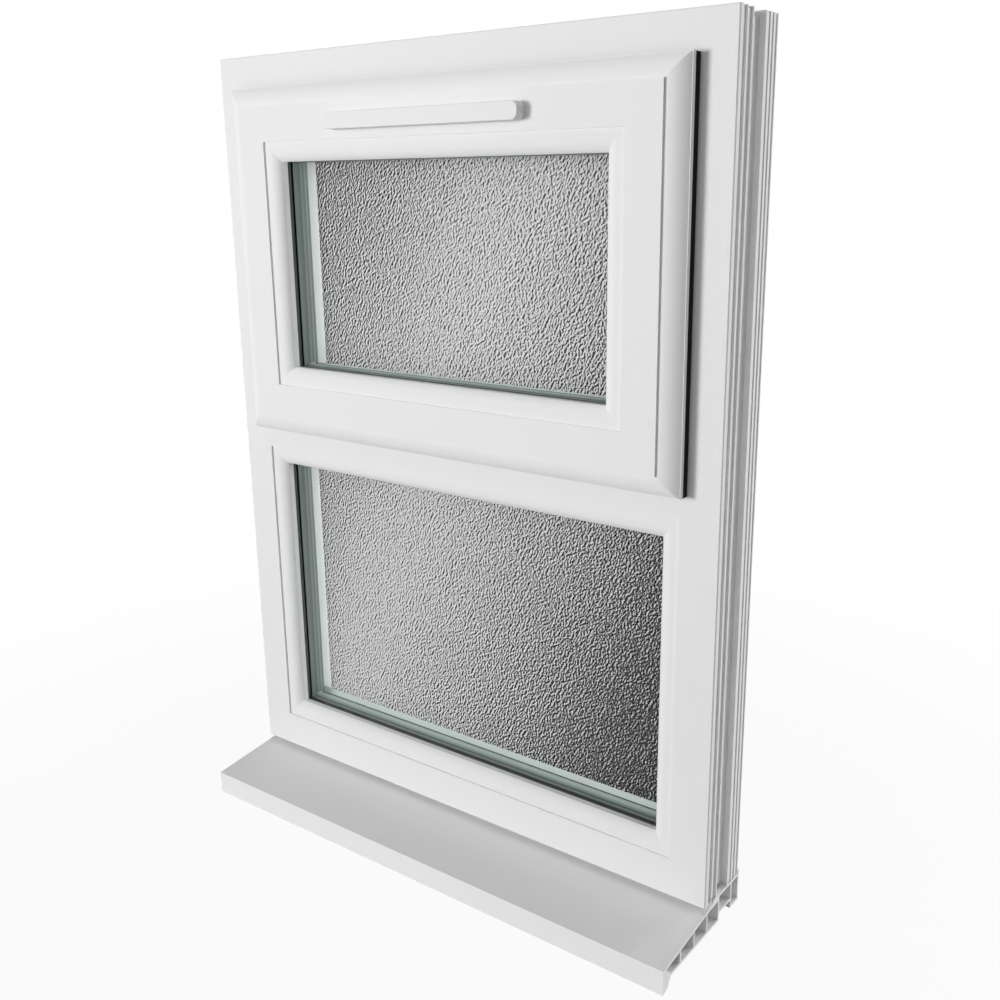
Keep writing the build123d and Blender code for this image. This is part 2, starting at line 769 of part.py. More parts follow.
def make_lock_gear():
    """Drive bar with rack and rollers, pinion and spindle, gear case and faceplate in the bottom rail."""
    plate_top = rail_bottom + faceplate_thickness
    bar_bottom = plate_top + drive_gap
    bar_top = bar_bottom + drive_bar_thickness
    face_y0 = groove_y - gear_face / 2
    face_y1 = groove_y + gear_face / 2
    half_groove = hardware_groove_width / 2 - drive_gap

    faceplate = block(
        -faceplate_length / 2, faceplate_length / 2, groove_y - half_groove, groove_y + half_groove,
        rail_bottom, plate_top,
    )
    drive_bar = block(
        -drive_bar_length / 2, drive_bar_length / 2, groove_y - drive_bar_width / 2,
        groove_y + drive_bar_width / 2, bar_bottom, bar_top,
    )
    drive_bar += along_y(rack_face(bar_bottom), face_y0, face_y1)
    slot = roller_pin_radius + slot_clearance
    for x in roller_centres():
        faceplate -= block(
            x - roller_travel - slot, x + slot, groove_y - slot, groove_y + slot,
            rail_bottom - overrun, plate_top + overrun,
        )
        pin_length = bar_bottom - rail_bottom + roller_reach
        drive_bar += rod((x, groove_y, bar_bottom), (0, 0, -1), pin_length, roller_pin_radius)
        roller_top = (x, groove_y, rail_bottom - roller_gap)
        drive_bar += rod(roller_top, (0, 0, -1), roller_reach - roller_gap, roller_radius)
    nodes["lock_faceplate"] = faceplate
    nodes["lock_drive_bar"] = drive_bar

    square = spindle_size / 2 + spindle_clearance
    teeth = pinion_face() - rect(-square, -square, square, square)
    nodes["lock_pinion"] = along_y(Pos(0, spindle_z) * teeth, face_y0, face_y1)
    hub_front = sash_back + handle_base_depth + hub_gap
    half = spindle_size / 2
    spindle_end = hub_front + spindle_depth - spindle_clearance
    nodes["handle_spindle"] = block(-half, half, face_y0, spindle_end, spindle_z - half, spindle_z + half)

    tip = pinion_radius + gear_module + gear_clearance
    case_bottom = bar_top + drive_gap
    case_top = spindle_z + tip + gear_case_wall
    half_case = gear_case_length / 2
    case_y = gear_case_width / 2
    room_y = gear_face / 2 + gear_clearance
    case = block(-half_case, half_case, groove_y - case_y, groove_y + case_y, case_bottom, case_top)
    case -= rod((0, groove_y - room_y, spindle_z), (0, 1, 0), 2 * room_y, tip)
    rack_tip = spindle_z - pinion_radius + rack_tip_share * gear_module + gear_clearance
    case -= block(
        -half_case - overrun, half_case + overrun, groove_y - room_y, groove_y + room_y,
        case_bottom - overrun, rack_tip,
    )
    case -= rod((0, groove_y, spindle_z), (0, 1, 0), case_y + overrun, spindle_size)
    nodes["lock_gear_case"] = case

    rail = nodes["sash_bottom_rail"]
    rail -= block(
        -half_case - pocket_clearance, half_case + pocket_clearance, groove_y - case_y - pocket_clearance,
        groove_y + case_y + pocket_clearance, rail_bottom + drive_gap, case_top + pocket_clearance,
    )
    rail -= rod((0, groove_y, spindle_z), (0, 1, 0), sash_back - groove_y + overrun, spindle_size)
    nodes["sash_bottom_rail"] = rail


def make_keeps():
    """Two screwed keeps on the transom, each with a lip in front of a roller's locked place."""
    keeps = []
    screws = []
    y_lip = groove_y - roller_radius - keep_clearance
    for x in roller_centres():
        locked = x - roller_travel
        keep = block(
            locked - keep_length / 2, locked + keep_length / 2, groove_y - keep_width / 2,
            groove_y + keep_width / 2, transom_high, transom_high + keep_base,
        )
        keep += block(
            locked - keep_lip_lead, x - roller_radius - keep_entry_gap, y_lip - keep_lip_thickness, y_lip,
            transom_high, transom_high + keep_lip_height,
        )
        for sign in (-1, 1):
            place = locked + sign * (keep_length / 2 - keep_screw_inset)
            seat = (place, groove_y, transom_high + keep_base)
            bore = screw_hole(Vector(*seat) + Vector(0, 0, overrun), (0, 0, -1))
            keep -= bore
            nodes["transom"] -= screw_hole(seat, (0, 0, -1))
            screws.append(screw(seat, (0, 0, -1)))
        keeps.append(keep)
    nodes["keeps"] = Compound(children=keeps)
    nodes["keep_screws"] = Compound(children=screws)


def make_handle():
    """Handle base, lever with its hub and lock button, on the room side of the bottom rail."""
    front = sash_back + handle_base_depth
    base_corner = (handle_base_height - handle_base_round) / 2
    base_face = RectangleRounded(handle_base_length, handle_base_height, base_corner)
    base = along_y(Pos(0, spindle_z) * base_face, sash_back, front)
    base = fillet(base.faces().sort_by(Axis.Y)[-1].edges(), handle_base_round)
    base -= rod((0, sash_back, spindle_z), (0, 1, 0), handle_base_depth, spindle_size)
    screws = []
    seat_y = sash_back + handle_base_depth / 2
    for sign in (-1, 1):
        seat = (sign * handle_screw_place, seat_y, spindle_z)
        base -= rod(seat, (0, 1, 0), handle_base_depth, screw_head_radius + screw_clearance)
        base -= screw_hole(Vector(*seat) + Vector(0, overrun, 0), (0, -1, 0))
        nodes["sash_bottom_rail"] -= screw_hole(seat, (0, -1, 0))
        screws.append(screw(seat, (0, -1, 0)))
    nodes["handle_base"] = base
    nodes["handle_screws"] = Compound(children=screws)

    hub_front = front + hub_gap
    lever_front = hub_front + hub_length
    lever_back = lever_front + lever_thickness
    half = lever_width / 2
    grip = rect(-half, spindle_z, half, spindle_z + lever_length) + Pos(0, spindle_z) * Circle(half)
    grip += Pos(0, spindle_z + lever_length) * Circle(half)
    lever = along_y(grip, lever_front, lever_back)
    flats = lever.faces().sort_by(Axis.Y)
    lever = fillet(flats[0].edges() + flats[-1].edges(), lever_round)
    lever += rod((0, hub_front, spindle_z), (0, 1, 0), hub_length + lever_thickness / 2, hub_radius)
    square = spindle_size / 2 + spindle_clearance
    lever -= block(
        -square, square, hub_front, hub_front + spindle_depth, spindle_z - square, spindle_z + square
    )
    button_y = lever_back + button_stand - button_length
    lever -= rod(
        (0, button_y - button_travel - button_clearance, spindle_z), (0, 1, 0),
        button_length + button_travel, button_radius + button_clearance,
    )
    nodes["handle_lever"] = lever
    nodes["lock_button"] = rod((0, button_y, spindle_z), (0, 1, 0), button_length, button_radius)


def make_vent():
    """Vent through the top rail: hood outside, body and hinged flap on the room side."""
    hood_front = sash_y - canopy_projection
    outer = Pos(0, vent_z) * RectangleRounded(vent_length, canopy_height, canopy_corner)
    inner = Pos(0, vent_z) * RectangleRounded(
        vent_length - 2 * canopy_wall, canopy_height - 2 * canopy_wall, canopy_corner - canopy_wall
    )
    hood = along_y(outer, hood_front, sash_y)
    hood = fillet(hood.faces().sort_by(Axis.Y)[0].edges(), canopy_edge)
    hood -= along_y(inner, hood_front + canopy_wall, sash_y)
    mouth = vent_length / 2 - canopy_corner
    hood -= block(
        -mouth, mouth, sash_y - canopy_slot, sash_y, vent_z - canopy_height / 2 - overrun, vent_z
    )
    nodes["vent_canopy"] = hood
    for sign in (-1, 1):
        x = sign * (vent_slot_length + vent_slot_gap) / 2
        nodes["sash_top_rail"] -= block(
            x - vent_slot_length / 2, x + vent_slot_length / 2, sash_y - overrun, sash_back + overrun,
            vent_z - vent_slot_height / 2, vent_z + vent_slot_height / 2,
        )

    body_front = sash_back + vent_body_depth
    body_face = Pos(0, vent_z) * RectangleRounded(vent_length, vent_body_height, vent_body_round)
    body = along_y(body_face, sash_back, body_front)
    body = chamfer(body.faces().sort_by(Axis.Y)[-1].edges(), vent_body_round / 2)
    open_x = vent_length / 2 - 4 * vent_body_wall
    open_z = vent_body_height / 2 - 2 * vent_body_wall
    body -= block(-open_x, open_x, sash_back, body_front, vent_z - open_z, vent_z + open_z)
    hinge_y = body_front - flap_knuckle_radius - flap_clearance
    hinge_z = vent_z - open_z + flap_clearance + flap_knuckle_radius
    reach = open_x + flap_pin_length + flap_clearance
    body -= rod((-reach, hinge_y, hinge_z), (1, 0, 0), 2 * reach, flap_pin_radius + pin_clearance)
    nodes["vent_body"] = body

    flap_x = open_x - flap_clearance
    flap_top = vent_z + open_z - flap_clearance
    flap = block(
        -flap_x, flap_x, hinge_y - flap_thickness / 2, hinge_y + flap_thickness / 2, hinge_z, flap_top
    )
    flap += rod((-flap_x, hinge_y, hinge_z), (1, 0, 0), 2 * flap_x, flap_knuckle_radius)
    pin_end = open_x + flap_pin_length
    flap += rod((-pin_end, hinge_y, hinge_z), (1, 0, 0), 2 * pin_end, flap_pin_radius)
    flap += block(
        -vent_slot_gap, vent_slot_gap, hinge_y, hinge_y + flap_thickness / 2 + flap_grip,
        flap_top - flap_thickness, flap_top,
    )
    nodes["vent_flap"] = flap


make_frame()
make_cill()
glaze("lower", lower_box, 0)
make_sash()
glaze("upper", inset(opener_box, sash_shoulder + sash_box - sash_overlap), sash_y)
make_stays()
make_lock_gear()
make_keeps()
make_handle()
make_vent()

os.makedirs("parts", exist_ok=True)
for name, shape in nodes.items():
    export_step(shape, os.path.join("parts", name + ".step"))
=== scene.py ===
import logging
import math
from dataclasses import dataclass
from enum import Enum
from typing import Any, Dict, List, Optional, Sequence, Tuple, Union

import bmesh
import bpy
from mathutils import Euler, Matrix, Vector


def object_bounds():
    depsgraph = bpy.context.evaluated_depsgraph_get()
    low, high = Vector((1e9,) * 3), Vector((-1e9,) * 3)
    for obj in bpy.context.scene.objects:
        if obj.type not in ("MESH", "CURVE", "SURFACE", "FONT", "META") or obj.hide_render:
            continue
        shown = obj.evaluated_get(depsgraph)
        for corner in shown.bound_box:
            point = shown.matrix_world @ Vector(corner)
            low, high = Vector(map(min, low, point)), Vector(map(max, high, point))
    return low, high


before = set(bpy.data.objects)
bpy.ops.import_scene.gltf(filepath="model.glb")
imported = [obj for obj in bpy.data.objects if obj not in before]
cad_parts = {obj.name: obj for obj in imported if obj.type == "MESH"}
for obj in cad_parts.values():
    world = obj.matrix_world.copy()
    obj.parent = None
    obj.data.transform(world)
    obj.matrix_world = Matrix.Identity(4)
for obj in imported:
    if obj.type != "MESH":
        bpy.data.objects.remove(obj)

CAD_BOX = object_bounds()
LOG = logging.getLogger("top_hung_window")
WHITE = (1.0, 1.0, 1.0, 1.0)

Colour = Tuple[float, float, float]
Triple = Tuple[float, float, float]
Span = Tuple[float, float]
Folds = Tuple[Tuple[float, float], ...]


class Run(Enum):
    """Way a profile was drawn through its die, as the stretch of its fine lines."""

    ACROSS = (3.0, 700.0, 700.0)
    UPRIGHT = (700.0, 700.0, 3.0)
    MOULDED = (60.0, 60.0, 60.0)


class Side(Enum):
    """Hand of a stay, seen from outside."""

    LEFT = "left"
    RIGHT = "right"


class Light(Enum):
    """Glazed opening of the window."""

    UPPER = "upper"
    LOWER = "lower"


class Signal:
    """Socket of a material's node, for use in Python expressions."""

    def __init__(self, graph: "Graph", socket: bpy.types.NodeSocket) -> None:
        """Keeps the graph that new nodes join and the socket that is read."""
        self.graph = graph
        self.socket = socket

    def maths(self, operation: str, first: "Operand", second: "Operand") -> "Signal":
        """Adds one Math node.

        Args:
            operation: Blender's name of the operation.
            first: Left operand.
            second: Right operand.

        Returns:
            The node's result.
        """
        return self.graph.node("ShaderNodeMath", {"operation": operation}, {0: first, 1: second})

    def __add__(self, other: "Operand") -> "Signal":
        """Sum."""
        return self.maths("ADD", self, other)

    def __radd__(self, other: "Operand") -> "Signal":
        """Sum with a number on the left."""
        return self.maths("ADD", other, self)

    def __sub__(self, other: "Operand") -> "Signal":
        """Difference."""
        return self.maths("SUBTRACT", self, other)

    def __rsub__(self, other: "Operand") -> "Signal":
        """Difference from a number on the left."""
        return self.maths("SUBTRACT", other, self)

    def __mul__(self, other: "Operand") -> "Signal":
        """Product."""
        return self.maths("MULTIPLY", self, other)

    def __rmul__(self, other: "Operand") -> "Signal":
        """Product with a number on the left."""
        return self.maths("MULTIPLY", other, self)

    def __truediv__(self, other: "Operand") -> "Signal":
        """Quotient."""
        return self.maths("DIVIDE", self, other)

    def __rtruediv__(self, other: "Operand") -> "Signal":
        """Quotient of a number on the left."""
        return self.maths("DIVIDE", other, self)

    def __pow__(self, power: "Operand") -> "Signal":
        """Power."""
        return self.maths("POWER", self, power)

    def __rpow__(self, base: "Operand") -> "Signal":
        """Power of a number on the left."""
        return self.maths("POWER", base, self)

    def __or__(self, other: "Operand") -> "Signal":
        """Larger of two values, as the union of two masks."""
        return self.maths("MAXIMUM", self, other)

    def __ror__(self, other: "Operand") -> "Signal":
        """Larger of two values, with a number on the left."""
        return self.maths("MAXIMUM", other, self)

    def smooth(self, low: float, high: float) -> "Signal":
        """Soft step from 0 at low to 1 at high.

        Args:
            low: Value that gives 0.
            high: Value that gives 1.

        Returns:
            The stepped value.
        """
        return self.graph.node(
            "ShaderNodeMapRange", {"interpolation_type": "SMOOTHSTEP", "clamp": True},
            {"Value": self, "From Min": low, "From Max": high},
        )


Operand = Union[Signal, float]
Tint = Union[Signal, Colour]


class Graph:
    """Node tree of one material or world."""

    def __init__(self, owner: Any) -> None:
        """Empties the owner's node tree.

        Args:
            owner: Material or world that gets the nodes.
        """
        owner.use_nodes = True
        self.owner = owner
        self.tree = owner.node_tree
        self.tree.nodes.clear()

    def node(
        self,
        kind: str,
        settings: Optional[Dict[str, Any]] = None,
        inputs: Optional[Dict[Union[str, int], Any]] = None,
        output: Union[str, int] = 0,
    ) -> Signal:
        """Adds any node.

        Args:
            kind: Blender's type name.
            settings: Properties set first; "stops" fills a colour ramp.
            inputs: Values or signals by socket name or number.
            output: Socket to return.

        Returns:
            The chosen output.
        """
        made = self.tree.nodes.new(kind)
        for key, value in (settings or {}).items():
            if key == "stops":
                self._stops(made.color_ramp, value)
            else:
                setattr(made, key, value)
        for key, value in (inputs or {}).items():
            if isinstance(value, Signal):
                self.tree.links.new(value.socket, made.inputs[key])
            else:
                made.inputs[key].default_value = value
        return Signal(self, made.outputs[output]) if len(made.outputs) else Signal(self, None)

    @staticmethod
    def _stops(ramp: bpy.types.ColorRamp, stops: Sequence[Tuple[float, Colour]]) -> None:
        """Fills a colour ramp.

        Args:
            ramp: Ramp of a new node.
            stops: Places and colours in rising order.
        """
        while len(ramp.elements) < len(stops):
            ramp.elements.new(1.0)
        for element, (place, colour) in zip(ramp.elements, stops):
            element.position = place
            element.color = (*colour, 1.0)

    def place(self) -> Signal:
        """Point of the surface in the window's own frame, in metres."""
        return self.node("ShaderNodeTexCoord", output="Object")

    def stretched(self, vector: Signal, scale: Triple) -> Signal:
        """Vector with each part multiplied by its own factor."""
        return self.node("ShaderNodeVectorMath", {"operation": "MULTIPLY"}, {0: vector, 1: scale})

    def moved(self, vector: Signal, offset: Triple) -> Signal:
        """Vector with an offset added."""
        return self.node("ShaderNodeVectorMath", {"operation": "ADD"}, {0: vector, 1: offset})

    def combed(self, vector: Signal, turn: float, scale: Triple) -> Signal:
        """Vector turned about the Y axis and then drawn out.

        Args:
            vector: Point to read.
            turn: Angle in degrees.
            scale: How far each turned axis is drawn out.

        Returns:
            The new point.
        """
        return self.node(
            "ShaderNodeMapping", {"vector_type": "TEXTURE"},
            {"Vector": vector, "Rotation": (0.0, math.radians(turn), 0.0), "Scale": scale},
        )

    def part(self, vector: Signal, axis: str) -> Signal:
        """One part of a vector, by the name X, Y or Z."""
        return self.node("ShaderNodeSeparateXYZ", inputs={0: vector}, output=axis)

    def noise(self, vector: Signal, scale: float, detail: float) -> Signal:
        """Cloudy value about 0.5.

        Args:
            vector: Point to read.
            scale: Clouds per metre.
            detail: Octaves of finer clouds.

        Returns:
            The value, from 0 to 1.
        """
        return self.node(
            "ShaderNodeTexNoise", inputs={"Vector": vector, "Scale": scale, "Detail": detail}
        )

    def blend(self, factor: Signal, low: "Tint", high: "Tint") -> Signal:
        """Colour between two colours.

        Args:
            factor: 0 for the low colour, 1 for the high one.
            low: Colour or signal of a colour.
            high: Colour or signal of a colour.

        Returns:
            The mixed colour.
        """
        ends = [tint if isinstance(tint, Signal) else (*tint, 1.0) for tint in (low, high)]
        inputs = {0: factor, 6: ends[0], 7: ends[1]}
        return self.node("ShaderNodeMix", {"data_type": "RGBA"}, inputs, 2)

    def ramp(self, value: Signal, stops: Sequence[Tuple[float, Colour]]) -> Signal:
        """Colour read from a ramp.

        Args:
            value: Place on the ramp, from 0 to 1.
            stops: Places and colours in rising order.

        Returns:
            The colour.
        """
        return self.node("ShaderNodeValToRGB", {"stops": stops}, {0: value})

    def bump(self, height: Signal, strength: float, distance: float) -> Signal:
        """Normal of a relief.

        Args:
            height: Relief from 0 to 1.
            strength: Share of the relief that shows.
            distance: Depth of the relief in metres.

        Returns:
            The bent normal.
        """
        return self.node(
            "ShaderNodeBump", inputs={"Strength": strength, "Distance": distance, "Height": height}
        )

    def principled(self, **inputs: Any) -> Signal:
        """Principled shader.

        Args:
            inputs: Values or signals by the short names listed here.

        Returns:
            The shader.
        """
        names = {
            "colour": "Base Color", "roughness": "Roughness", "metallic": "Metallic",
            "normal": "Normal", "ior": "IOR", "transmission": "Transmission Weight",
            "coat": "Coat Weight", "specular": "Specular IOR Level",
        }
        values = {}
        for key, value in inputs.items():
            flat = isinstance(value, tuple) and len(value) == 3
            values[names[key]] = (*value, 1.0) if flat else value
        return self.node("ShaderNodeBsdfPrincipled", inputs=values)

    def open_to_lamps(self, shader: Signal, tint: Colour) -> Signal:
        """Shader that lets rays from lamps through.

        Args:
            shader: What the eye sees.
            tint: Share of each colour of the lamp light that passes.

        Returns:
            The mixed shader.
        """
        film = self.node("ShaderNodeBsdfTransparent", inputs={"Color": (*tint, 1.0)})
        lamp = self.node("ShaderNodeLightPath", output="Is Shadow Ray")
        return self.node("ShaderNodeMixShader", inputs={0: lamp, 1: shader, 2: film})

    def surface(self, shader: Signal) -> None:
        """Joins a shader to the output."""
        world = isinstance(self.owner, bpy.types.World)
        kind = "ShaderNodeOutputWorld" if world else "ShaderNodeOutputMaterial"
        self.node(kind, inputs={"Surface": shader})


@dataclass(frozen=True)
class Finish:
    """Named finish that makes its material once."""

    name: str

    def shade(self, graph: Graph) -> Signal:
        """Shader of the finish."""
        raise NotImplementedError

    def material(self) -> bpy.types.Material:
        """Material of the finish, made on first use.

        Returns:
            The material.
        """
        found = bpy.data.materials.get(self.name)
        if found is not None:
            return found
        made = bpy.data.materials.new(self.name)
        graph = Graph(made)
        graph.surface(self.shade(graph))
        return made


@dataclass(frozen=True)
class WhitePlastic(Finish):
    """Satin white plastic with faint die lines along its run."""

    run: Run = Run.MOULDED
    shade_low: Colour = (0.845, 0.85, 0.848)
    shade_high: Colour = (0.885, 0.888, 0.886)
    roughness: float = 0.38
    roughness_swing: float = 0.12
    specular: float = 0.1
    drift_scale: float = 6.0
    drift_share: float = 0.7
    line_share: float = 0.3

    def shade(self, graph: Graph) -> Signal:
        """Shader with a soft drift of tone and fine lines in the gloss."""
        place = graph.place()
        lines = graph.noise(graph.stretched(place, self.run.value), 1.0, 1.0)
        drift = graph.noise(place, self.drift_scale, 2.0)
        mix = drift * self.drift_share + lines * self.line_share
        colour = graph.blend(mix, self.shade_low, self.shade_high)
        roughness = self.roughness + self.roughness_swing * (lines - 0.5)
        return graph.principled(colour=colour, roughness=roughness, specular=self.specular)


@dataclass(frozen=True)
class SealRubber(Finish):
    """Matt dark rubber with a fine grain."""

    shade_low: Colour = (0.004, 0.004, 0.0045)
    shade_high: Colour = (0.012, 0.012, 0.013)
    roughness: float = 0.5
    specular: float = 0.08
    roughness_swing: float = 0.2
    grain_scale: float = 900.0

    def shade(self, graph: Graph) -> Signal:
        """Shader with a fine grain in tone and gloss."""
        grain = graph.noise(graph.place(), self.grain_scale, 2.0)
        colour = graph.blend(grain, self.shade_low, self.shade_high)
        roughness = self.roughness + self.roughness_swing * grain
        return graph.principled(colour=colour, roughness=roughness, specular=self.specular)


@dataclass(frozen=True)
class ClearGlass(Finish):
    """Clear float glass that lets lamp light through to what is behind it."""

    tint: Colour = (0.975, 0.99, 0.983)
    ior: float = 1.2
    specular: float = 0.3

    def shade(self, graph: Graph) -> Signal:
        """Glass for the eye, a clear film for rays from lamps."""
        glass = graph.principled(
            colour=self.tint, roughness=0.0, ior=self.ior, transmission=1.0,
            specular=self.specular,
        )
        return graph.open_to_lamps(glass, self.tint)


@dataclass(frozen=True)
class ObscureGlass(Finish):
    """Stippled obscure glass; the light and shade of its grains and a slow sweep of painted
    reflection are drawn in colour.

    Bands of colour along the left and lower edges are a painted view of the lit white rebate behind
    the pane; the lower band has a darker painted shade.
    The painted reflection sweep runs from 0 to 1 along a slanted line over both panes.
    """

    margin_left: float = 0.0
    margin_low: float = 0.0
    grains: float = 380.0
    grain_turn: float = 28.0
    grain_draw: Triple = (0.88, 1.0, 1.25)
    lean: Triple = (-0.00048, 0.0, 0.00018)
    contrast: float = 5.4
    relief: float = 0.0004
    slant: float = 0.457
    middle: float = 0.61
    sweep_start: float = -0.25
    sweep_span: float = 0.7
    # Ends of the painted tone: dark for the shaded side of the grains, pale for their lit side and
    # the painted reflection.
    dark: Colour = (0.004, 0.004, 0.004)
    pale: Colour = (0.53, 0.517, 0.518)
    # Painted view of the lit white rebate behind the pane, for the left band; rebate_low is the
    # lower band in a darker painted shade.
    rebate: Colour = (0.95, 0.97, 0.975)
    rebate_low: Colour = (0.44, 0.475, 0.465)
    jag: float = 0.0005
    passed: Colour = (0.8, 0.82, 0.81)
    # Brightness of the painted reflection along the sweep, and the spans where it calms the grains'
    # painted light and shade.
    tone_start: float = 0.48
    tone_rise: float = 0.32
    rise_span: Span = (0.0, 0.4)
    tone_fall: float = 0.6
    fall_span: Span = (0.42, 1.05)
    calm_share: float = 0.3
    calm_in: Span = (0.15, 0.36)
    calm_out: Span = (0.4, 0.6)
    calm_far: Span = (0.7, 0.95)
    tone_power: float = 2.2
    jag_gain: float = 4.0
    roughness: float = 0.3
    roughness_swing: float = 0.2
    relief_share: float = 0.3
    ior: float = 1.5
    specular: float = 0.1

    def stipple(self, graph: Graph, place: Signal) -> Signal:
        """Light and shade of the grains about 0, lit along the lean."""
        flat = graph.stretched(place, (1.0, 0.0, 1.0))
        sides = [
            graph.combed(graph.moved(flat, offset), self.grain_turn, self.grain_draw)
            for offset in (self.lean, tuple(-part for part in self.lean))
        ]
        lit, unlit = [graph.noise(side, self.grains, 2.0) for side in sides]
        return lit - unlit

    def level(self, reflection_sweep: Signal, grain: Signal) -> Signal:
        """Brightness of the grains, from 0 to 1: the painted reflection along the sweep, with the
        grains' painted light and shade on top and their contrast lowered over parts of the sweep.

        Args:
            reflection_sweep: Place along the painted reflection sweep.
            grain: Light and shade of the grains about 0.

        Returns:
            The brightness.
        """
        rise = self.tone_rise * reflection_sweep.smooth(*self.rise_span)
        fall = self.tone_fall * reflection_sweep.smooth(*self.fall_span)
        near = reflection_sweep.smooth(*self.calm_in) - reflection_sweep.smooth(*self.calm_out)
        calm = self.calm_share * near + self.calm_share * reflection_sweep.smooth(*self.calm_far)
        tone = self.tone_start + rise - fall
        return (tone + grain * (1.0 - calm) * self.contrast).smooth(0.0, 1.0) ** self.tone_power

    def margin(self, edge: float, along: Signal, grain: Signal) -> Signal:
        """Mask of the band before an edge.

        Args:
            edge: Place where the band ends.
            along: Place on the axis across the band.
            grain: Grains that fray the band's end.

        Returns:
            1 in the band, 0 past it.
        """
        frayed = edge - along + grain * self.jag * self.jag_gain
        return frayed.smooth(-self.jag, self.jag)

    def shade(self, graph: Graph) -> Signal:
        """Grey shader with the grains' painted light and shade, a slow sweep of painted reflection
        and the painted view of the lit rebate in bands.
        """
        place = graph.place()
        across = graph.part(place, "X")
        up = graph.part(place, "Z")
        grain = self.stipple(graph, place)
        # Place along the painted reflection: a slanted gradient over both panes.
        reflection_sweep = (across - (up - self.middle) * self.slant - self.sweep_start) / self.sweep_span
        colour = graph.blend(self.level(reflection_sweep, grain), self.dark, self.pale)
        # Bands of the painted view of the lit rebate along the left and lower edges.
        left = self.margin(self.margin_left, across, grain)
        low = self.margin(self.margin_low, up, grain)
        colour = graph.blend(low, graph.blend(left, colour, self.rebate), self.rebate_low)
        glass = graph.principled(
            colour=colour, roughness=self.roughness + self.roughness_swing * grain,
            normal=graph.bump(grain + 0.5, self.relief_share, self.relief),
            ior=self.ior, specular=self.specular,
        )
        return graph.open_to_lamps(glass, self.passed)


@dataclass(frozen=True)
class BareMetal(Finish):
    """Drawn or brushed metal with fine lines along its run."""

    colour_low: Colour = (0.5, 0.51, 0.52)
    colour_high: Colour = (0.66, 0.67, 0.68)
    run: Run = Run.UPRIGHT
    roughness: float = 0.34
    metallic: float = 1.0
    roughness_swing: float = 0.2

    def shade(self, graph: Graph) -> Signal:
        """Metal shader with brushed lines in colour and gloss."""
        lines = graph.noise(graph.stretched(graph.place(), self.run.value), 1.0, 2.0)
        colour = graph.blend(lines, self.colour_low, self.colour_high)
        roughness = self.roughness + self.roughness_swing * (lines - 0.5)
        return graph.principled(colour=colour, metallic=self.metallic, roughness=roughness)


@dataclass(frozen=True)
class SpacerMetal(Finish):
    """Rolled spacer bar; the light and shade of its folds are painted as bands of tone along it,
    lighter on the level bars that face up.
    """

    front: float = 0.0
    low: float = 0.0
    depth: float = 0.02
    green: Colour = (0.85, 1.0, 0.955)
    metallic: float = 0.2
    roughness: float = 0.38
    roughness_swing: float = 0.1
    grain_scale: float = 300.0
    waver: float = 0.04
    corner: float = 0.002
    # Painted light and shade of the folds across the bar: the level bars, which face up, get
    # lighter bands than the upright ones, and a near-black band.
    upright_fold_shading: Folds = (
        (0.0, 0.26), (0.2, 0.23), (0.4, 0.16), (0.45, 0.16), (0.49, 0.29), (0.58, 0.26),
        (0.66, 0.18), (0.7, 0.19), (0.76, 0.3), (0.83, 0.34), (0.9, 0.2), (1.0, 0.27),
    )
    level_fold_shading: Folds = (
        (0.0, 0.33), (0.1, 0.28), (0.22, 0.12), (0.26, 0.12), (0.3, 0.27), (0.45, 0.4),
        (0.66, 0.6), (0.73, 0.46), (0.78, 0.58), (0.82, 0.58), (0.845, 0.02), (0.925, 0.02),
        (0.945, 0.5),
    )

    def banded(self, graph: Graph, across: Signal, folds: Folds) -> Signal:
        """Painted light and shade of a run of folds in grey-green, read across the bar."""
        stops = [(at, tuple(tone * part for part in self.green)) for at, tone in folds]
        return graph.ramp(across, stops)

    def shade(self, graph: Graph) -> Signal:
        """Grey-green metal with the painted light and shade of its folds across its depth, faintly
        grained.
        """
        place = graph.place()
        grain = graph.noise(place, self.grain_scale, 2.0)
        inward = (graph.part(place, "Y") - self.front) / self.depth
        across = inward + self.waver * (grain - 0.5)
        # Above its lower corner the bar takes the upright bars' darker painted shading; below it,
        # the level bar's lighter one.
        above = (graph.part(place, "Z") - self.low).smooth(0.0, self.corner)
        level = self.banded(graph, across, self.level_fold_shading)
        colour = graph.blend(above, level, self.banded(graph, across, self.upright_fold_shading))
        roughness = self.roughness + self.roughness_swing * grain
        return graph.principled(colour=colour, metallic=self.metallic, roughness=roughness)


@dataclass(frozen=True)
class PowderCoat(Finish):
    """White powder coat with a fine orange peel."""

    shade_low: Colour = (0.82, 0.825, 0.82)
    shade_high: Colour = (0.87, 0.872, 0.868)
    roughness: float = 0.3
    roughness_swing: float = 0.1
    peel_scale: float = 850.0
    peel_share: float = 0.25
    peel_depth: float = 0.0002
    drift_scale: float = 25.0
    coat: float = 0.2

    def shade(self, graph: Graph) -> Signal:
        """Coated shader with a pebbled relief."""
        place = graph.place()
        peel = graph.noise(place, self.peel_scale, 2.0)
        drift = graph.noise(place, self.drift_scale, 2.0)
        return graph.principled(
            colour=graph.blend(drift, self.shade_low, self.shade_high),
            roughness=self.roughness + self.roughness_swing * peel,
            normal=graph.bump(peel, self.peel_share, self.peel_depth), coat=self.coat,
        )


@dataclass(frozen=True)
class DullPlastic(Finish):
    """Matt moulded plastic or sealant that hardly shows."""

    shade_low: Colour = (0.03, 0.03, 0.03)
    shade_high: Colour = (0.06, 0.06, 0.06)
    roughness: float = 0.55
    roughness_swing: float = 0.2
    mottle_scale: float = 180.0

    def shade(self, graph: Graph) -> Signal:
        """Matt shader with a mottled tone."""
        mottle = graph.noise(graph.place(), self.mottle_scale, 3.0)
        colour = graph.blend(mottle, self.shade_low, self.shade_high)
        roughness = self.roughness + self.roughness_swing * mottle
        return graph.principled(colour=colour, roughness=roughness)


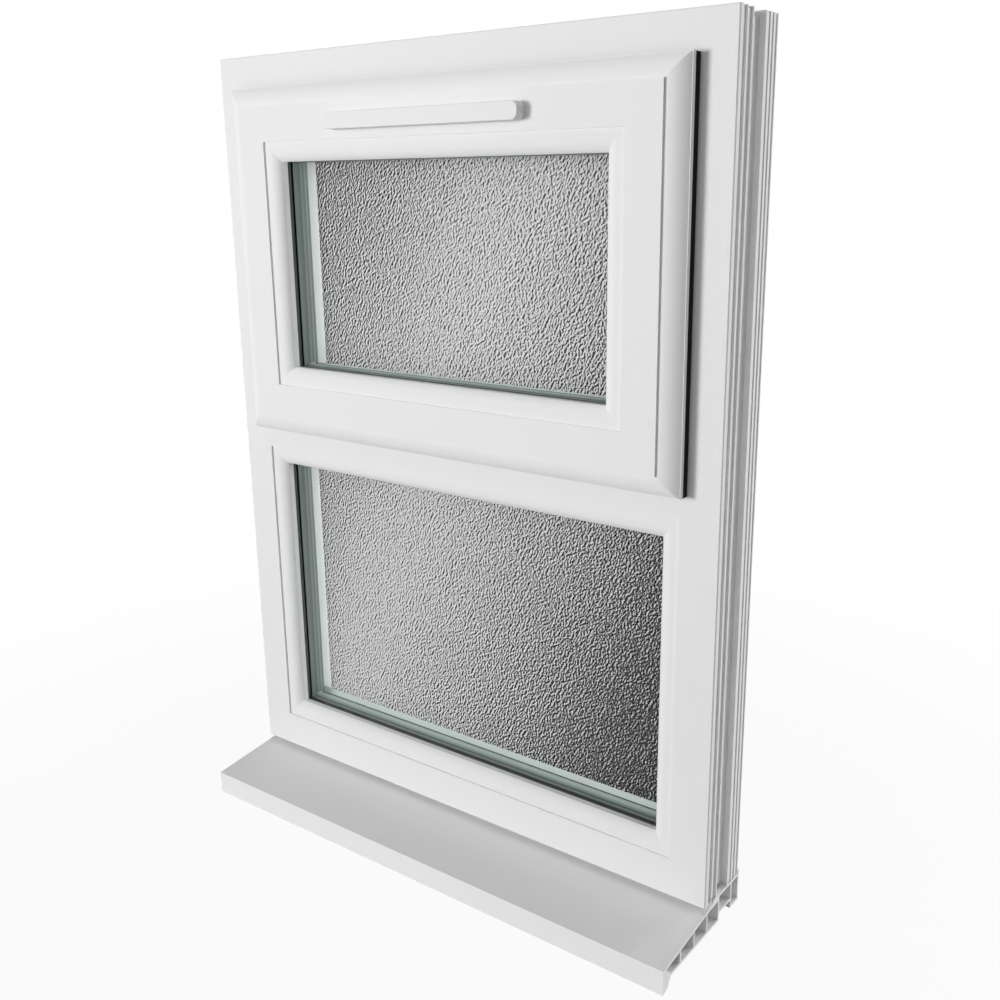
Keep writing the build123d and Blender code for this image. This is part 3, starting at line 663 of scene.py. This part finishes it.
@dataclass(frozen=True)
class Palette:
    """All finishes of the window."""

    across: WhitePlastic = WhitePlastic("white_plastic_across", Run.ACROSS)
    upright: WhitePlastic = WhitePlastic("white_plastic_upright", Run.UPRIGHT)
    moulded: WhitePlastic = WhitePlastic("white_plastic_moulded", Run.MOULDED)
    # Lighter copy of the white plastic: painted light that brightens the up-facing cill.
    cill: WhitePlastic = WhitePlastic(
        "white_plastic_cill_painted_light", Run.ACROSS, (0.885, 0.89, 0.888), (0.925, 0.928, 0.926)
    )
    seal: SealRubber = SealRubber("black_seal_rubber")
    clear: ClearGlass = ClearGlass("clear_float_glass")
    gasket: SealRubber = SealRubber(
        "gasket_rubber", (0.07, 0.073, 0.071), (0.095, 0.099, 0.097), 0.35, 0.5
    )
    sealant: DullPlastic = DullPlastic("unit_edge_sealant")
    packer: DullPlastic = DullPlastic("packer_plastic", (0.1, 0.19, 0.3), (0.14, 0.25, 0.38))
    nylon: DullPlastic = DullPlastic("shoe_nylon", (0.04, 0.04, 0.042), (0.075, 0.075, 0.078))
    stay: BareMetal = BareMetal("stay_steel")
    lock: BareMetal = BareMetal(
        "lock_steel", (0.46, 0.47, 0.48), (0.6, 0.61, 0.62), Run.ACROSS, 0.38
    )
    zinc: BareMetal = BareMetal(
        "cast_zinc", (0.4, 0.41, 0.42), (0.5, 0.51, 0.52), Run.MOULDED, 0.45
    )
    screw: BareMetal = BareMetal(
        "screw_steel", (0.5, 0.5, 0.49), (0.7, 0.7, 0.69), Run.MOULDED, 0.3
    )
    chrome: BareMetal = BareMetal(
        "button_chrome", (0.6, 0.6, 0.61), (0.68, 0.68, 0.69), Run.MOULDED, 0.14
    )
    handle: PowderCoat = PowderCoat("handle_powder_coat")


def dress(node: str, finish: Finish) -> None:
    """Gives a CAD node its finish.

    Args:
        node: Name of the node.
        finish: Finish for all of its faces.
    """
    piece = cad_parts[node]
    for slot in piece.material_slots:
        slot.material = finish.material()
    LOG.info("%s: %s", node, finish.name)


@dataclass
class OuterFrame:
    """Welded frame with its transom and closing seal."""

    palette: Palette
    level: Tuple[str, ...] = ("frame_head", "frame_bottom_rail", "transom")
    upright: Tuple[str, ...] = ("frame_jamb_left", "frame_jamb_right")

    def dress(self) -> None:
        """Finishes the profiles and the seal."""
        for node in self.level:
            dress(node, self.palette.across)
        for node in self.upright:
            dress(node, self.palette.upright)
        dress("frame_seal", self.palette.seal)


@dataclass
class Cill:
    """Projecting cill under the frame."""

    palette: Palette

    def dress(self) -> None:
        """Finishes the extrusion."""
        # The cill's finish is the lighter copy of the white plastic, which is painted light.
        dress("cill", self.palette.cill)


@dataclass
class GlazedLight:
    """Sealed unit of one light with its gaskets and beads; its places are in metres."""

    palette: Palette
    light: Light
    cavity_front: float
    spacer_low: float
    rebate_left: float
    rebate_low: float

    def dress(self) -> None:
        """Finishes every piece of the light."""
        name = self.light.value
        finishes = {
            "outer_pane": self.palette.clear,
            "inner_pane": ObscureGlass(f"stippled_glass_{name}", self.rebate_left, self.rebate_low),
            "spacer_bar": SpacerMetal(f"spacer_metal_{name}", self.cavity_front, self.spacer_low),
            "edge_seal": self.palette.sealant,
            "outer_gasket": self.palette.gasket, "inner_gasket": self.palette.seal,
            "packers": self.palette.packer, "bead_top": self.palette.across,
            "bead_bottom": self.palette.across, "bead_left": self.palette.upright,
            "bead_right": self.palette.upright,
        }
        for piece, finish in finishes.items():
            dress(f"{name}_{piece}", finish)


@dataclass
class Sash:
    """Opening sash with its weather seal."""

    palette: Palette

    def dress(self) -> None:
        """Finishes the sash lengths and the seal."""
        dress("sash_top_rail", self.palette.across)
        dress("sash_bottom_rail", self.palette.across)
        dress("sash_stile_left", self.palette.upright)
        dress("sash_stile_right", self.palette.upright)
        dress("sash_seal", self.palette.seal)
        dress("sash_seal_top", self.palette.seal)


@dataclass
class FrictionStay:
    """Stay of one side: track, shoe, arm and vent bar."""

    palette: Palette
    side: Side

    def dress(self) -> None:
        """Finishes the stay's pieces."""
        for piece in ("track", "arm", "vent_bar"):
            dress(f"{self.side.value}_stay_{piece}", self.palette.stay)
        dress(f"{self.side.value}_stay_shoe", self.palette.nylon)


@dataclass
class LockGear:
    """Lock gear in the bottom rail and its keeps on the transom."""

    palette: Palette

    def dress(self) -> None:
        """Finishes the gear, the keeps and the screws."""
        for node in ("lock_faceplate", "lock_drive_bar", "lock_pinion", "handle_spindle"):
            dress(node, self.palette.lock)
        for node in ("lock_gear_case", "keeps"):
            dress(node, self.palette.zinc)
        for node in ("stay_frame_screws", "stay_sash_screws", "keep_screws", "handle_screws"):
            dress(node, self.palette.screw)


@dataclass
class Handle:
    """Locking handle on the room side."""

    palette: Palette

    def dress(self) -> None:
        """Finishes the base, the lever and the button."""
        dress("handle_base", self.palette.handle)
        dress("handle_lever", self.palette.handle)
        dress("lock_button", self.palette.chrome)


@dataclass
class Vent:
    """Vent in the top rail: hood outside, body and flap on the room side."""

    palette: Palette

    def dress(self) -> None:
        """Finishes the three mouldings."""
        for node in ("vent_canopy", "vent_body", "vent_flap"):
            dress(node, self.palette.moulded)


@dataclass(frozen=True)
class Lamp:
    """Soft round lamp.

    The level is what a white surface that faces it shows with a full beam; a narrower beam shows
    more. A lamp that isn't mirrored is hidden from mirror and glass rays.
    """

    name: str
    place: Triple
    size: float
    level: float
    aim: Triple = (0.0, 0.0, 0.45)
    beam_degrees: float = 180.0
    mirrored: bool = True


@dataclass
class Studio:
    """Pale floor, soft lamps, white surroundings and the camera."""

    floor_radius: float = 9.0
    floor_sides: int = 96
    floor_gap: float = 0.0005
    floor_tone: Colour = (0.5, 0.5, 0.5)
    floor_roughness: float = 0.9
    floor_white: float = 0.94
    floor_fade: float = 0.06
    fade_span: Span = (0.35, 1.2)
    ambient: float = 0.18
    eye: Triple = (0.70432, -0.8192, 0.68517)
    turn_degrees: Triple = (74.9367, 0.2162, 35.5207)
    focal_pixels: float = 1097.108
    frame_pixels: float = 1000.0
    axis_pixels: Tuple[float, float] = (542.809, 488.897)
    sensor: float = 36.0
    clip_start: float = 0.01
    lamps: Tuple[Lamp, ...] = (
        Lamp("key", (-1.745, -3.352, 0.7), 1.3, 0.231, (0.4, 0.0, 0.95), 110.0, False),
        Lamp("front", (0.0, -3.6, 1.0), 1.2, 0.09),
        Lamp("top", (0.0, -0.4, 3.2), 1.2, 0.1),
        Lamp("rim", (1.72, 2.46, 0.6), 0.9, 0.84, mirrored=False),
        Lamp("side", (2.6, 0.5, 0.8), 1.0, 0.04, mirrored=False),
    )

    def floor(self) -> None:
        """Makes the floor, nearly white to the eye, with the window's faint shadow on it."""
        ring = bmesh.new()
        bmesh.ops.create_circle(
            ring, cap_ends=True, segments=self.floor_sides, radius=self.floor_radius
        )
        mesh = bpy.data.meshes.new("floor")
        ring.to_mesh(mesh)
        ring.free()
        floor = bpy.data.objects.new("floor", mesh)
        floor.location = (0.0, 0.0, CAD_BOX[0][2] - self.floor_gap)
        bpy.context.scene.collection.objects.link(floor)
        material = bpy.data.materials.new("studio_floor")
        graph = Graph(material)
        flat = graph.stretched(graph.place(), (1.0, 1.0, 0.0))
        reach = graph.node("ShaderNodeVectorMath", {"operation": "LENGTH"}, {0: flat}, "Value")
        paper = graph.principled(
            colour=self.floor_tone, roughness=self.floor_roughness, specular=0.0
        )
        glow = graph.node("ShaderNodeEmission", inputs={"Color": WHITE, "Strength": 1.0})
        share = self.floor_white + self.floor_fade * reach.smooth(*self.fade_span)
        graph.surface(graph.node(
            "ShaderNodeMixShader", inputs={0: self.seen(graph) * share, 1: paper, 2: glow}
        ))
        mesh.materials.append(material)

    @staticmethod
    def seen(graph: Graph) -> Signal:
        """1 for rays from the eye, also by mirror or glass, and 0 for rays that gather light."""
        eye, mirror, glass = [
            graph.node("ShaderNodeLightPath", output=name)
            for name in ("Is Camera Ray", "Is Glossy Ray", "Is Transmission Ray")
        ]
        return eye | mirror | glass

    def surroundings(self) -> None:
        """Makes the world: white to the eye, soft light to the surfaces."""
        world = bpy.data.worlds.new("studio_white")
        bpy.context.scene.world = world
        graph = Graph(world)
        strength = self.ambient + (1.0 - self.ambient) * self.seen(graph)
        graph.surface(graph.node(
            "ShaderNodeBackground", inputs={"Color": WHITE, "Strength": strength}
        ))

    def light(self) -> None:
        """Makes the soft lamps, each with the power that gives its level at the window."""
        for lamp in self.lamps:
            way = Vector(lamp.aim) - Vector(lamp.place)
            light = bpy.data.lights.new(lamp.name, "AREA")
            light.shape = "DISK"
            light.size = lamp.size
            light.spread = math.radians(lamp.beam_degrees)
            light.energy = lamp.level * (math.pi * way.length) ** 2
            holder = bpy.data.objects.new(lamp.name, light)
            holder.location = lamp.place
            holder.rotation_euler = way.to_track_quat("-Z", "Y").to_euler()
            holder.visible_glossy = lamp.mirrored
            holder.visible_transmission = lamp.mirrored
            bpy.context.scene.collection.objects.link(holder)

    def camera(self) -> None:
        """Makes the camera at the photograph's viewing angle."""
        data = bpy.data.cameras.new("view")
        data.sensor_fit = "HORIZONTAL"
        data.sensor_width = self.sensor
        data.lens = self.sensor * self.focal_pixels / self.frame_pixels
        half = self.frame_pixels / 2
        data.shift_x = (half - self.axis_pixels[0]) / self.frame_pixels
        data.shift_y = (self.axis_pixels[1] - half) / self.frame_pixels
        data.clip_start = self.clip_start
        holder = bpy.data.objects.new("view", data)
        holder.location = self.eye
        turn = [math.radians(angle) for angle in self.turn_degrees]
        holder.rotation_euler = Euler(turn, "XYZ")
        bpy.context.scene.collection.objects.link(holder)
        bpy.context.scene.camera = holder

    def build(self) -> None:
        """Makes the whole studio."""
        self.floor()
        self.surroundings()
        self.light()
        self.camera()
        bpy.context.scene.view_settings.view_transform = "Standard"
        LOG.info("studio: floor, surroundings, lamps and camera")


def main() -> None:
    """Dresses the window's pieces in order, then builds the studio."""
    logging.basicConfig(level=logging.INFO, format="%(name)s: %(message)s")
    palette = Palette()
    parts: List[Any] = [
        OuterFrame(palette),
        Cill(palette),
        GlazedLight(
            palette, Light.LOWER, cavity_front=0.022, spacer_low=0.0905,
            rebate_left=-0.2326, rebate_low=0.0968,
        ),
        Sash(palette),
        GlazedLight(
            palette, Light.UPPER, cavity_front=-0.0017, spacer_low=0.5062,
            rebate_left=-0.185, rebate_low=0.5066,
        ),
        FrictionStay(palette, Side.LEFT),
        FrictionStay(palette, Side.RIGHT),
        LockGear(palette),
        Handle(palette),
        Vent(palette),
    ]
    for part in parts:
        part.dress()
    Studio().build()


if __name__ == "__main__":
    main()
